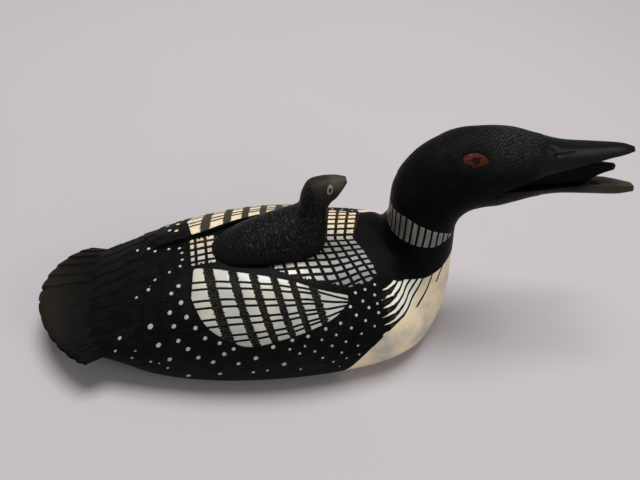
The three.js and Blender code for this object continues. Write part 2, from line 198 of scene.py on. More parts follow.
# Lens and place of the camera, fitted to the photograph, and places of the lights, in metres and degrees.
CAMERA_LENS = 36.98
CAMERA_PLACE = (-0.030623, -0.097851, 0.125279)
CAMERA_TURN = (44.739, -5.312, -10.058)
KEY_PLACE, FILL_PLACE = (0.02, 0.10, 0.55), (0.4, -0.45, 0.4)
LIGHT_SIZE = 0.3
FLOOR_REACH = 5.0

# Rows of dots in the same coordinates. Columns: first place, last place, bow of the row, number of dots,
# and the radius of the first and the last dot.
DOT_ROWS = np.array([
    [-33.4, 8.0, -23.2, 22.8, 2.9, 7, 0.46, 0.42],
    [-34.9, 9.1, -27.6, 25.4, 3.1, 7, 0.44, 0.46],
    [-39.6, 14.2, -36.1, 22.2, 0.5, 3, 0.56, 0.50],
    [-47.0, 16.4, -40.3, 22.0, 0.1, 3, 0.26, 0.36],
    [-46.0, 14.2, -42.9, 17.9, 0.0, 2, 0.38, 0.26],
    [-38.3, 22.6, -36.9, 24.8, 0.0, 2, 0.16, 0.30],
    [-32.9, 28.9, -19.4, 30.3, -0.3, 3, 0.52, 0.36],
    [-25.2, 23.7, -12.9, 28.5, 0.0, 3, 0.48, 0.52],
    [-22.6, 27.0, -16.4, 30.1, 0.0, 2, 0.42, 0.30],
    [-15.2, 23.6, 2.4, 18.3, 0.6, 6, 0.44, 0.32],
    [-12.1, 24.9, 7.5, 17.9, 0.9, 7, 0.28, 0.34],
    [-10.0, 26.2, 6.5, 20.8, 1.0, 6, 0.34, 0.26],
    [-4.7, 27.7, 2.8, 25.3, 0.4, 3, 0.34, 0.26],
    [-5.2, 30.3, 3.2, 28.0, 0.0, 4, 0.30, 0.26],
    [-9.4, 31.0, -0.9, 31.6, 0.0, 3, 0.30, 0.28],
    [2.5, 13.7, 7.2, 11.9, 0.1, 3, 0.34, 0.30],
    [1.4, 16.3, 6.7, 14.3, 0.1, 3, 0.34, 0.32],
    [5.4, 16.7, 7.1, 16.2, 0.0, 2, 0.34, 0.28],
    [-42.2, 6.7, -39.8, 5.9, 0.0, 2, 0.28, 0.36],
    [-38.2, 4.0, -35.4, 3.4, 0.0, 2, 0.30, 0.30],
    [-33.2, 2.7, -32.5, 0.9, 0.0, 2, 0.34, 0.30],
])


# Shapes
def smooth_between(places, values, at):
    """Value between given rows: a cubic through them, its slopes taken from the rows on either side."""
    last = len(places) - 1
    before = np.maximum(np.arange(last + 1) - 1, 0)
    after = np.minimum(np.arange(last + 1) + 1, last)
    slope = ((values[after] - values[before]).T / (places[after] - places[before])).T
    i = np.clip(np.searchsorted(places, at) - 1, 0, last - 1)
    span = places[i + 1] - places[i]
    u = np.clip((at - places[i]) / span, 0, 1)
    if values.ndim > 1:
        span, u = span[..., None], u[..., None]
    rise = values[i] * (1 + 2 * u) * (1 - u) ** 2 + values[i + 1] * u * u * (3 - 2 * u)
    return rise + span * (slope[i] * u * (1 - u) ** 2 - slope[i + 1] * u * u * (1 - u))


def smoothstep(value, low, high):
    u = np.clip((value - low) / (high - low), 0, 1)
    return u * u * (3 - 2 * u)


def ring_points(rings, at, side, is_upper):
    """Points of the rings. The half width times the sine of side, a share of a quarter turn, goes across;
    a superellipse of that sine gives the height between the ring's lowest and highest point."""
    row = smooth_between(rings[:, 0], rings[:, 1:], at)
    top_x, top_z, bottom_x, bottom_z, half, waist, over, under = np.moveaxis(row, -1, 0)
    reach = np.sin(side * np.pi / 2)
    power = np.where(is_upper, over, under)
    swell = np.maximum(1 - np.abs(reach) ** power, 0) ** (1 / power)
    up = np.where(is_upper, waist + (1 - waist) * swell, waist * (1 - swell))
    return np.stack([bottom_x + (top_x - bottom_x) * up, reach * half,
                     bottom_z + (top_z - bottom_z) * up], -1)


def pose_head(points, share):
    """Leans, then turns the upright head about the neck by a share from 0 to 1 of the whole."""
    lean, turn = -HEAD_LEAN * share, HEAD_TURN * share
    x, y, z = np.moveaxis(points - NECK_PIVOT, -1, 0)
    y, z = y * np.cos(lean) - z * np.sin(lean), y * np.sin(lean) + z * np.cos(lean)
    x, y = x * np.cos(turn) - y * np.sin(turn), x * np.sin(turn) + y * np.cos(turn)
    return np.stack([x, y, z], -1) + NECK_PIVOT


def outward(points):
    """Unit normals of a closed-round grid: the step along the bird crossed with the step round it."""
    along = np.gradient(points, axis=0)
    around = np.roll(points, -1, axis=1) - np.roll(points, 1, axis=1)
    normal = np.cross(along, around)
    return normal / np.maximum(np.linalg.norm(normal, axis=-1, keepdims=True), 1e-9)


def ring_sides(edge_share, inner_count, outer_count, under_count, gap):
    """Shares of a quarter turn round each ring: over the back from right to left with a double column at
    the wing's inner edge, then back along the underside."""
    inner = np.linspace(0, 1, inner_count + 1)
    outer = np.linspace(0, 1, outer_count + 1)
    edge = edge_share[:, None]
    left = np.concatenate([inner * (edge - gap), edge + (1 - edge) * outer], axis=1)
    upper = np.concatenate([-left[:, :0:-1], left], axis=1)
    under = np.linspace(1, -1, under_count + 1)[1:-1]
    lower = np.repeat(under[None, :], len(edge_share), axis=0)
    side = np.concatenate([upper, lower], axis=1)
    is_upper = np.arange(side.shape[1]) < upper.shape[1]
    return side, np.repeat(is_upper[None, :], len(edge_share), axis=0), upper.shape[1]


def arc_from_top(points, top_column):
    """Signed length along each ring from its highest point, negative on the right side."""
    step = np.linalg.norm(np.diff(points, axis=1), axis=2)
    length = np.concatenate([np.zeros((len(points), 1)), np.cumsum(step, axis=1)], axis=1)
    return length - length[:, top_column:top_column + 1]


def wing_lift(x, side, edge_share, raise_height):
    """Height of the folded wing over the back: most along its inner edge, falling to nothing outwards with
    the square of the way across, and at the front with the fourth power of the way along."""
    along = np.clip((x - WING_HIND[0]) / (2 - WING_HIND[0]), 0, 1)
    outer = WING_REACH[0] + (WING_REACH[1] - WING_REACH[0]) * np.sqrt(along)
    across = (np.abs(side) - edge_share) / (outer - edge_share)
    hind = WING_HIND[0] + WING_HIND[1] * (2 * across - 1) ** 2
    along = np.clip((x - hind) / (2 - hind), 0, 1)
    fade = (1 - np.clip(across, 0, 1) ** 2) * (1 - along ** 4)
    lift = raise_height * ((1 + WING_DIP) * fade - WING_DIP)
    lift = np.where(across >= 0, np.maximum(lift, 0), 0)
    return lift * np.clip((x - hind) / 0.5, 0, 1)


def dots_of_rows(rows):
    """Places and radii of the dots: each row a parabola through its ends that bows to one side."""
    places = []
    for first_x, first_q, last_x, last_q, bow, count, first_radius, last_radius in rows:
        share = np.linspace(0, 1, int(count))
        along_x, along_q = last_x - first_x, last_q - first_q
        length = np.hypot(along_x, along_q)
        out = bow * 4 * share * (1 - share)
        wander = 0.16 * np.sin(17 * share + 3 * first_x)
        places.append(np.stack([first_x + along_x * share - along_q / length * out + wander,
                                first_q + along_q * share + along_x / length * out - wander,
                                first_radius + (last_radius - first_radius) * share], -1))
    return np.concatenate(places)


def nearest_dot(x, q):
    """Offset from the nearest dot, its radius, which is nought near the ground of the next dot, and how
    much further away the second nearest dot is."""
    dots = dots_of_rows(DOT_ROWS)
    aq = np.abs(q)
    first = np.full(x.shape, 1e9)
    second = np.full(x.shape, 1e9)
    near = np.zeros(x.shape, int)
    for number, (dot_x, dot_q, _) in enumerate(dots):
        away = np.hypot(x - dot_x, aq - dot_q)
        closer = away < first
        second = np.where(closer, first, np.minimum(second, away))
        first = np.where(closer, away, first)
        near = np.where(closer, number, near)
    fade = np.clip((second - first - 0.9) / 0.25, 0, 1)
    return np.stack([x - dots[near, 0], aq - dots[near, 1], dots[near, 2] * fade], -1), first, second


def least(*values):
    """The smallest of several values at every point."""
    return reduce(np.minimum, values)


def nearest_line(value):
    """Distance to the nearest whole number."""
    return np.abs((value + 0.5) % 1 - 0.5)


def wing_patch(x, aq, edge_q, on_back):
    """Pale patch of each wing: number of the dark band, share of the way from the first line along the wing
    to the last, and distance inside the patch. The span between those two lines comes with it."""
    band = np.interp(x - BAND_BEND * aq ** 2, *BAND_NUMBERS)
    first_line = edge_q + np.interp(x, *FIRST_LINE_GAP)
    span = np.interp(x, *LAST_LINE) - first_line
    top = aq - (edge_q + np.interp(x, *PATCH_TOP_GAP))
    lower = (smooth_between(PATCH_LOWER[:, 0], PATCH_LOWER[:, 1], x) - aq) * PATCH_LOWER_SLOPE
    rear = x - PATCH_REAR_X + PATCH_REAR_SLANT * np.maximum(aq - PATCH_REAR_Q, 0)
    inside = least(lower, rear, top, PATCH_FRONT_X - x)
    return np.stack([band, (aq - first_line) / span, np.where(on_back, inside, OUTSIDE)], -1), span


def back_net(x, y, on_back):
    """Chequered net between the wings: number of the column, number of the row away from the middle, and
    distance inside the net. The columns lean forward down the sides, and the near rows fan."""
    ay = np.abs(y)
    lean = np.maximum(NET_LEAN + NET_LEAN_GROWTH * x, 0) * np.where(y > 0, NET_FAR_LEAN, 1)
    column = (NET_FRONT_COLUMN_X - (x - lean * ay)) / NET_COLUMN
    near_row = ay / (NET_NEAR_ROW - NET_NEAR_ROW_LOSS * smoothstep(x, -3, 8))
    row = np.where(y > 0, y / (NET_FAR_ROW - NET_FAR_ROW_LOSS * ay), near_row)
    half_width = np.interp(x, *NET_HALF_WIDTH) + np.where(y > 0, smoothstep(x, -24.4, -25.4), 0)
    front = NET_FRONT_X + NET_FRONT_SLANT * ay - x
    inside = least(half_width - ay, front, x - NET_REAR_X)
    return np.stack([column, row, np.where(on_back, inside, OUTSIDE)], -1)


def neck_collar(x, z, aq, at):
    """Collar round the neck: number of the bar, and distance inside the collar."""
    inside = np.minimum(np.interp(x, *COLLAR_TOP) - z, z - np.interp(x, *COLLAR_BOTTOM))
    on_neck = (at > COLLAR_STRETCH[0]) & (at < COLLAR_STRETCH[1])
    bar = (aq - BAR_START) / BAR_STEP
    return np.stack([bar, np.zeros_like(bar), np.where(on_neck, inside, OUTSIDE)], -1)


def breast_strips(x, z, at, side, is_upper):
    """Strips that sweep back and down from the cape over the side of the breast: number of the strip, half
    width of the dark line beside it, and distance inside their field. A strip keeps its share of the way
    round the body, bent by the square of the way along."""
    around = np.where(is_upper, np.abs(side), 2 - np.abs(side))
    around = around - STRIP_BEND * (at - STRIP_BEND_AT) ** 2
    around = around / (1 + 0.06 * smoothstep(at, 82, 67))
    strip = (around - STRIP_START) / STRIP_STEP
    dark = STRIP_LINE + 0.37 * np.clip((73.5 - at) / 8.5, 0, 1) ** 1.6
    below_cape = np.interp(x, *CAPE_HEM) - z
    inside = least(below_cape, x - STRIPS_REAR_X, strip + 0.62, 4.3 - strip)
    on_front = (at > STRIPS_STRETCH[0]) & (at < STRIPS_STRETCH[1]) & (z > 1)
    return np.stack([strip, dark, np.where(on_front, inside, OUTSIDE)], -1)


def bare_breast(x, z, q, at, strips):
    """Distance inside the bare breast, which lies below the flank's hem, before the last strip, along the
    rim of the far shoulder and on the whole underside."""
    flank_hem = FLANK_HEM - FLANK_HEM_DROP * np.maximum(FLANK_HEM_X - x, 0) ** 2
    before_strips = (strips[..., 0] - 4.02 - strips[..., 1]) * 1.6
    front = least(before_strips, x - BREAST_REAR_X, np.interp(x, *CAPE_HEM) - z)
    rim = least(q - FAR_RIM[0], FAR_RIM[1] - q, x - BREAST_REAR_X, FAR_RIM_FRONT_X - x)
    rim = np.where((at > RIM_STRETCH[0]) & (at < RIM_STRETCH[1]), rim, OUTSIDE)
    breast = np.maximum(np.maximum(flank_hem - z, front), rim)
    breast = np.where((x < -6) | (at > STRIPS_STRETCH[1]), OUTSIDE, breast)
    return np.where(z < 0.1, -OUTSIDE, breast)


def plumage(points, at, side, is_upper, q, edge_q):
    """Coordinates of the loon's markings at every point of the body grid. Each is smooth over the surface,
    and the material draws lines where they pass whole numbers and edges where they pass nought."""
    x, y, z = np.moveaxis(points, -1, 0)
    aq = np.abs(q)
    on_back = is_upper & (at < BACK_END)
    wing, span = wing_patch(x, aq, edge_q, on_back)
    strips = breast_strips(x, z, at, side, is_upper)
    dots, first, second = nearest_dot(x, q)
    dots[..., 2] = np.where((at < DOTS_END) & (z > 0.8), dots[..., 2], 0)
    cell = np.where(first < 3.4, second - first, 9)
    return {"wing": wing, "net": back_net(x, y, on_back), "collar": neck_collar(x, z, aq, at),
            "strips": strips, "dots": dots, "flow": np.stack([at, q, np.zeros_like(at)], -1),
            "form": points, "bare": np.stack([bare_breast(x, z, q, at, strips), cell, span], -1)}


def eye_place(x, z):
    """0 in the middle of the eye and 1 on its almond outline, which is pointed at both corners."""
    across, up = np.abs(x - EYE_X) / EYE_HALF_LENGTH, (z - EYE_Z) / EYE_HALF_HEIGHT
    return 0.75 * across ** 1.4 + 0.25 * across ** 2 + up ** 2


def dish(distance, radius):
    """A round hollow of depth 1 in its middle that runs out smoothly at the radius."""
    return np.clip(1 - (distance / radius) ** 2, 0, 1) ** 2


def ridge(value, place, width):
    """1 where the value is at the place, falling off on both sides as a bell of the width."""
    return np.exp(-((value - place) / width) ** 2)


def wing_relief(wing, depth):
    """Recessed dark bands in the wing's patch, and a shallower groove round the patch."""
    inside = wing[..., 2]
    band = smoothstep(inside, 0, 0.4) * smoothstep(nearest_line(wing[..., 0]), 0.20, 0.12)
    groove = smoothstep(inside, 0.1, -0.25) * smoothstep(inside, -0.9, -0.3)
    return -depth * (band + 0.5 * groove)


def feather_relief(x, z, at, is_upper, q, marks, depth):
    """A shallow feather round every dot, with grooves where two dots are equally near and a rise to the
    rear, and long feathers over the rump and tail coverts."""
    cell = marks["bare"][..., 1]
    dotted = smoothstep(marks["wing"][..., 2], 0, -0.4) * smoothstep(marks["net"][..., 2], 0, -0.4)
    dotted = dotted * (z > 1) * is_upper * smoothstep(at, 72, 66)
    rise = np.clip(marks["dots"][..., 0] / 1.5, -1, 1) * (cell < 8)
    rump = is_upper * smoothstep(x, -36, -40) * smoothstep(at, 0, 4)
    quill = dish(nearest_line(q / 3.1 + 0.1 * np.sin(x * 0.9)), 0.16)
    return -depth * (dotted * (ridge(cell, 0, 0.45) + 0.7 * rise) + 1.6 * rump * quill)


def head_relief(x, z):
    """Eyes with rims and brows, nostrils with a fold behind them and a groove before them, the seam behind
    the mouth's corner, and the edge of the feathers round the bill's root."""
    eye = eye_place(x, z)
    brow = np.hypot((x - EYE_X) / 4.6, (z - EYE_Z) / 3.2)
    relief = 0.35 * dish(eye, 0.9) - 0.22 * ridge(eye, 1.08, 0.15) + 0.18 * ridge(brow, 0.85, 0.22)
    slit = np.hypot((x - NOSTRIL_X) / 0.8, (z - NOSTRIL_Z) / 0.45)
    groove = ridge(z - 0.14 * (x - NOSTRIL_X), NOSTRIL_Z, 0.2)
    groove = groove * smoothstep(x, NOSTRIL_X, NOSTRIL_X + 1) * smoothstep(x, NOSTRIL_X + 5, NOSTRIL_X + 2.6)
    fold = ridge(np.hypot((x - 41.4) / 3.2, (z - 45.9) / 2.6), 1, 0.12)
    fold = fold * smoothstep(z, 46.4, 47.2) * smoothstep(x, 40.2, 41.6)
    seam = ridge(z + 0.35 * (33.2 - x), 39.7, 0.3) * smoothstep(x, 28.5, 32.5) * (x < 36)
    hood = smoothstep(x - 0.35 * np.abs(z - 46), 40.4, 39.7)
    return relief - 0.45 * dish(slit, 1.25) - 0.2 * groove - 0.16 * fold - 0.22 * seam + 0.1 * hood


def carved_relief(points, at, is_upper, q, marks, depth):
    """Height carved into the body, in millimetres along the normal."""
    x, _, z = np.moveaxis(points, -1, 0)
    relief = wing_relief(marks["wing"], depth) + feather_relief(x, z, at, is_upper, q, marks, depth)
    return relief + (at > HEAD_FADE[1]) * head_relief(x, z)


def grid_faces(ring_total, count):
    """Quads between neighbouring rings, numbered so that they face outwards."""
    a = np.arange((ring_total - 1) * count).reshape(ring_total - 1, count)
    b = np.roll(a, -1, axis=1)
    return np.stack([a, a + count, b + count, b], -1).reshape(-1, 4)


def closed_mesh(name, points, marks):
    """Mesh of a closed-round grid with a fan at each end, and one vector attribute for each marking."""
    rings, count = points.shape[:2]
    ends = np.stack([points[0].mean(0), points[-1].mean(0)])
    vertices = np.concatenate([points.reshape(-1, 3), ends])
    vertices = (vertices - [MIDDLE_X, 0, 0]) * MM
    quads = grid_faces(rings, count)
    k = np.arange(count)
    first, last = rings * count, rings * count + 1
    rear = np.stack([np.full(count, first), k, (k + 1) % count], -1)
    front = np.stack([np.full(count, last), (k + 1) % count + (rings - 1) * count,
                      k + (rings - 1) * count], -1)
    mesh = bpy.data.meshes.new(name)
    mesh.from_pydata(vertices, [], quads.tolist() + rear.tolist() + front.tolist())
    for title, value in marks.items():
        flat = value.reshape(-1, 3)
        flat = np.concatenate([flat, flat[:1], flat[-1:]])
        layer = mesh.attributes.new(title, "FLOAT_VECTOR", "POINT")
        layer.data.foreach_set("vector", flat.astype(np.float32).ravel())
    mesh.validate()
    return mesh


def blank_marks(points, part):
    """Markings for a piece with no pattern: everything outside, and its own number as the part."""
    shape = points.shape[:-1]
    none = np.full(shape + (3,), OUTSIDE)
    flow = np.stack([points[..., 0] + RING_OFFSET, points[..., 1], np.full(shape, float(part))], -1)
    marks = {title: none for title in ("wing", "net", "collar", "strips", "bare")}
    marks["dots"] = np.zeros(shape + (3,))
    marks["flow"] = flow
    marks["form"] = points
    return marks


def loon_body(sizes):
    """Sweep of the loon's rings on a grid, with wings and carving raised along the normals, the head turned
    on the neck, and the underside cut flat."""
    at = np.concatenate([np.arange(0, 80, 0.37), np.arange(80, 118, 0.6), np.arange(118, 150, 0.4),
                         np.linspace(150, 169, 34)])
    x_top = smooth_between(LOON_RINGS[:, 0], LOON_RINGS[:, 1], at)
    half = smooth_between(LOON_RINGS[:, 0], LOON_RINGS[:, 5], at)
    edge_y = smooth_between(WING_EDGE[:, 0], WING_EDGE[:, 1], np.clip(x_top, -41, 2))
    hold = np.clip(at, 16, 59)
    edge_share = np.arcsin(edge_y / half.clip(edge_y / 0.95)) * 2 / np.pi
    edge_share = np.interp(hold, at, edge_share)
    side, is_upper, upper_count = ring_sides(edge_share, 36, 50, 48, 0.006)
    at = np.repeat(at[:, None], side.shape[1], axis=1)
    plain = ring_points(LOON_RINGS, at, side, is_upper)
    top_column = (upper_count - 1) // 2
    q = arc_from_top(plain, top_column)
    round_ring = q[:, -1:] - q[:, :1] + np.linalg.norm(plain[:, -1] - plain[:, 0], axis=-1)[:, None]
    q = np.where(q > round_ring / 2, q - round_ring, q)
    edge_q = q[:, top_column + 37:top_column + 38]
    marks = plumage(plain, at, side, is_upper, q, edge_q)
    normal = outward(plain)
    lift = wing_lift(plain[..., 0], side, edge_share[:, None], sizes.wing_raise / MM)
    lift = np.where(is_upper, lift, 0)
    relief = carved_relief(plain, at, is_upper, q, marks, sizes.carving_depth / MM)
    keep = smoothstep(plain[..., 2], 0.2, 1.2)
    points = plain + normal * ((lift + relief * keep)[..., None])
    points = pose_head(points, smoothstep(at, *TURN_PLACES))
    points[..., 2] = np.maximum(points[..., 2], 0)
    return points, marks


def tail_fan(sizes):
    """Fan of tail feathers: an elliptical rear edge, each feather's rounded tip standing out, and each
    feather sloping under the edge of the next one in, with a groove down its middle."""
    feathers, per_feather, rings = sizes.tail_feathers, 12, 26
    across = feathers * per_feather
    back = np.linspace(1, 0, rings)[:, None]
    k = np.arange(across + 1)
    side = 2 * k / across - 1
    columns = np.concatenate([side, side[-2:0:-1]])[None, :]
    is_upper = (np.arange(columns.shape[1]) <= across)[None, :]
    reach = np.sin(columns * np.pi / 2)
    within = (np.abs(columns) * feathers / 2) % 1
    tip = sizes.tail_tip / MM * (np.sqrt(np.maximum(1 - (2 * within - 1) ** 2, 0)) - 1)
    fan = TAIL_FAN_LENGTH * np.cos(columns * np.pi / 2) ** 1.5
    edge_x = TAIL_CORNER_X - fan - TAIL_FAN_SKEW * np.sin(columns * np.pi)
    edge_y, root_y = TAIL_CORNER_Y * reach, TAIL_ROOT_Y * reach
    length = np.hypot(edge_x - TAIL_ROOT_X, edge_y - root_y)
    out_x, out_y = (edge_x - TAIL_ROOT_X) / length, (edge_y - root_y) / length
    x = TAIL_ROOT_X + (edge_x + out_x * tip - TAIL_ROOT_X) * back
    y = root_y + (edge_y + out_y * tip - root_y) * back
    middle = TAIL_ROOT_Z + (TAIL_END_Z - TAIL_ROOT_Z) * back - TAIL_DROOP * reach ** 2
    thickness = TAIL_ROOT_THICKNESS + (TAIL_END_THICKNESS - TAIL_ROOT_THICKNESS) * back
    rounding = np.sqrt(np.maximum(1 - reach ** 8, 0))
    step = sizes.tail_step / MM * (0.5 - within) * back
    quill = -0.12 * dish(within - 0.5, 0.12) * back
    edge_round = -0.45 * smoothstep(back, 0.955, 1.0)
    lift = (thickness / 2 + step + quill + edge_round) * rounding
    z = middle + np.where(is_upper, lift, -lift)
    points = np.stack([x + 0 * z, y + 0 * z, z], -1)
    marks = blank_marks(points, 1)
    marks["wing"] = np.stack([np.broadcast_to(columns * feathers / 2, z.shape),
                              np.broadcast_to(back, z.shape), np.full(z.shape, OUTSIDE)], -1)
    return points, marks


def gape_wedge():
    """Wedge between the two halves of the open bill: its side outline carried across the whole head."""
    outline = GAPE_OUTLINE[::-1]
    across = np.linspace(-MOUTH_HALF_WIDTH, MOUTH_HALF_WIDTH, 2)
    y = np.repeat(across[:, None], len(outline), axis=1)
    points = np.stack([np.repeat(outline[None, :, 0], 2, 0), y, np.repeat(outline[None, :, 1], 2, 0)], -1)
    marks = blank_marks(points, 3)
    return pose_head(points, 1.0), marks


def swept_piece(rings, ring_count, across, part):
    """Plain sweep over rings, with its markings left out."""
    at = np.linspace(0, rings[-1, 0], ring_count)[:, None]
    upper = np.linspace(-1, 1, across + 1)
    side = np.concatenate([upper, upper[-2:0:-1]])[None, :]
    is_upper = (np.arange(side.shape[1]) <= across)[None, :]
    at, side, is_upper = np.broadcast_arrays(at, side, is_upper)
    points = ring_points(rings, at, side, is_upper)
    marks = blank_marks(points, part)
    q = arc_from_top(points, across // 2)
    marks["flow"] = np.stack([at, q, np.full(at.shape, float(part))], -1)
    return points, marks


# Joining
def read_vectors(data, field, count):
    values = np.zeros(count * 3, np.float32)
    data.foreach_get(field, values)
    return values.reshape(-1, 3)


def add_object(name, data):
    piece = bpy.data.objects.new(name, data)
    bpy.context.scene.collection.objects.link(piece)
    return piece


def grid_object(name, points, marks):
    return add_object(name, closed_mesh(name, points, marks))


def combine(piece, other, operation):
    """Joins or cuts the piece with another mesh, and gives the points on the cut the markings of the
    nearest point that was there before."""
    before = [(read_vectors(o.data.vertices, "co", len(o.data.vertices)), o.data) for o in (piece, other)]
    modifier = piece.modifiers.new("combine", "BOOLEAN")
    modifier.object = other
    modifier.operation = operation
    modifier.solver = "MANIFOLD"
    depsgraph = bpy.context.evaluated_depsgraph_get()
    result = bpy.data.meshes.new_from_object(piece.evaluated_get(depsgraph))
    piece.modifiers.clear()
    co = read_vectors(result.vertices, "co", len(result.vertices))
    old = np.concatenate([pair[0] for pair in before])
    key = lambda p: np.round(p.astype(float) * 1e7).astype(np.int64) @ np.array([1, 1 << 21, 1 << 42])
    cut = np.flatnonzero(~np.isin(key(co), key(old)))
    nearest = np.zeros(len(cut), int)
    for start in range(0, len(cut), 200):
        some = co[cut[start:start + 200]]
        nearest[start:start + 200] = ((some[:, None, :] - old[None]) ** 2).sum(-1).argmin(1)
    for layer in list(before[0][1].attributes):
        if layer.data_type == "FLOAT_VECTOR" and layer.name != "position":
            source = np.concatenate([read_vectors(mesh.attributes[layer.name].data, "vector", len(points))
                                     for points, mesh in before])
            target = result.attributes[layer.name]
            values = read_vectors(target.data, "vector", len(co))
            values[cut] = source[nearest]
            target.data.foreach_set("vector", values.ravel())
    old_mesh, other_mesh = piece.data, other.data
    piece.data = result
    bpy.data.objects.remove(other)
    bpy.data.meshes.remove(old_mesh)
    bpy.data.meshes.remove(other_mesh)
    return piece


# Materials
class Tree:
    """Short names for the nodes of one material."""

    def __init__(self, name):
        self.material = bpy.data.materials.new(name)
        self.material.use_nodes = True
        self.nodes = self.material.node_tree.nodes
        self.links = self.material.node_tree.links
        self.nodes.clear()

    def put(self, kind, inputs, **settings):
        """A new node with its settings, and its inputs linked to sockets or set to values."""
        node = self.nodes.new("ShaderNode" + kind)
        for name, value in settings.items():
            setattr(node, name, value)
        for place, value in inputs.items():
            if isinstance(value, bpy.types.NodeSocket):
                self.links.new(value, node.inputs[place])
            else:
                node.inputs[place].default_value = value
        return node

    def sum(self, operation, *values, clamp=False):
        return self.put("Math", dict(enumerate(values)), operation=operation, use_clamp=clamp).outputs[0]

    def chain(self, operation, values):
        """One operation on two or more values, taken from left to right."""
        return reduce(lambda a, b: self.sum(operation, a, b), values)

    def add(self, *values):
        return self.chain("ADD", values)

    def mul(self, *values):
        return self.chain("MULTIPLY", values)

    def low(self, *values):
        return self.chain("MINIMUM", values)

    def high(self, *values):
        return self.chain("MAXIMUM", values)

    def sub(self, a, b):
        return self.sum("SUBTRACT", a, b)

    def floor(self, value):
        return self.sum("FLOOR", value)

    def edge(self, value, width):
        """0 below nought and 1 above it, over a narrow width."""
        return self.sum("MULTIPLY_ADD", value, 1 / width, 0.5, clamp=True)

    def ramp(self, value, low, high):
        """0 at low and 1 at high, eased at both ends. Low may be the larger of the two."""
        inputs = {"Value": value, "From Min": min(low, high), "From Max": max(low, high),
                  "To Min": float(low > high), "To Max": float(low < high)}
        return self.put("MapRange", inputs, interpolation_type="SMOOTHSTEP").outputs["Result"]

    def line(self, value, shift=0.0):
        """Distance to the nearest whole number, after a shift."""
        return self.sum("ABSOLUTE", self.sub(self.sum("FRACT", self.add(value, shift + 0.5)), 0.5))

    def marking(self, title):
        """The three parts of a vector attribute."""
        node = self.put("Attribute", {}, attribute_name=title)
        return tuple(self.put("SeparateXYZ", {0: node.outputs["Vector"]}).outputs)

    def vector(self, x, y, z):
        return self.put("CombineXYZ", {0: x, 1: y, 2: z}).outputs[0]

    def noise(self, place, scale, detail=2.0, roughness=0.5):
        inputs = {"Vector": place, "Scale": scale, "Detail": detail, "Roughness": roughness}
        return self.put("TexNoise", inputs).outputs["Fac"]

    def random(self, x, y, z):
        """A random value from 0 to 1 for each place."""
        return self.put("TexWhiteNoise", {"Vector": self.vector(x, y, z)}).outputs["Value"]

    def blend(self, share, a, b):
        """Mix of two colours, each a socket or a dye with three values."""
        a, b = (c if isinstance(c, bpy.types.NodeSocket) else (*c, 1.0) for c in (a, b))
        return self.put("Mix", {0: share, 6: a, 7: b}, data_type="RGBA").outputs[2]

    def paint(self, colour, *layers):
        """The colour under layers put on one after another, each a share and a colour."""
        for share, layer in layers:
            colour = self.blend(share, colour, layer)
        return colour

    def between(self, share, a, b):
        """Mix of two numbers."""
        return self.put("Mix", {0: share, 2: a, 3: b}, data_type="FLOAT").outputs[0]

    def finish(self, colour, roughness, height, distance, **others):
        """The finished material. The height bumps its surface, by up to the distance in metres."""
        bump = self.put("Bump", {"Strength": 1.0, "Distance": distance, "Height": height})
        inputs = {title.replace("_", " "): value for title, value in others.items()}
        inputs.update({"Base Color": colour, "Roughness": roughness, "Normal": bump.outputs["Normal"]})
        shader = self.put("BsdfPrincipled", inputs)
        self.put("OutputMaterial", {"Surface": shader.outputs["BSDF"]})
        return self.material


def loon_markings(t):
    """Values of the loon's vector attributes by name, and a slight unevenness for the edges."""
    m = SimpleNamespace()
    m.band, m.line, m.in_wing = t.marking("wing")
    m.column, m.row, m.in_net = t.marking("net")
    m.bar, _, m.in_collar = t.marking("collar")
    m.strip, m.strip_dark, m.in_strips = t.marking("strips")
    m.dot_x, m.dot_q, m.dot_size = t.marking("dots")
    m.bare, _, m.span = t.marking("bare")
    m.along, m.across, m.part = t.marking("flow")
    m.x, m.y, m.z = t.marking("form")
    m.form = t.vector(m.x, m.y, m.z)
    wobble = t.mul(t.sub(t.noise(m.form, 1.1, 2), 0.5), 0.22)
    fine = t.mul(t.sub(t.noise(m.form, 5.0, 2), 0.5), 0.12)
    m.unsure = t.add(wobble, fine)
    return m


def wing_mask(t, m):
    """Pale of the wing's patch: between dark bands with ragged edges, and between dark lines in pairs, which
    shift a little from band to band. The second of a pair is missing at the patch's front and top."""
    rung = t.random(t.floor(t.mul(m.across, 4.4)), t.floor(t.add(m.band, 0.5)), 0.0)
    band_gap = t.sub(t.add(t.line(m.band), t.mul(t.sub(rung, 0.5), 0.06)), 0.205)
    cell = t.random(t.floor(m.band), 3.0, t.sum("SIGN", m.across))
    place = t.high(t.add(m.line, t.mul(t.sub(cell, 0.5), 0.022)), 0.02)
    first, second = (t.mul(t.line(t.mul(t.sub(place, start), 1 / LINE_PAIR)), t.mul(m.span, LINE_PAIR))
                     for start in LINE_STARTS)
    second = t.add(second, t.high(t.edge(t.sub(m.band, 5.3), 0.1), t.edge(t.sub(0.12, place), 0.02)))
    line_half = t.between(t.ramp(m.y, 2.0, 8.0), 0.24, 0.3)
    line_gap = t.sub(t.low(first, second), t.add(line_half, t.mul(m.unsure, 0.4)))
    border = t.edge(t.add(m.in_wing, t.mul(m.unsure, 0.8)), 0.1)
    return t.low(t.edge(band_gap, 0.03), t.edge(line_gap, 0.07), border)


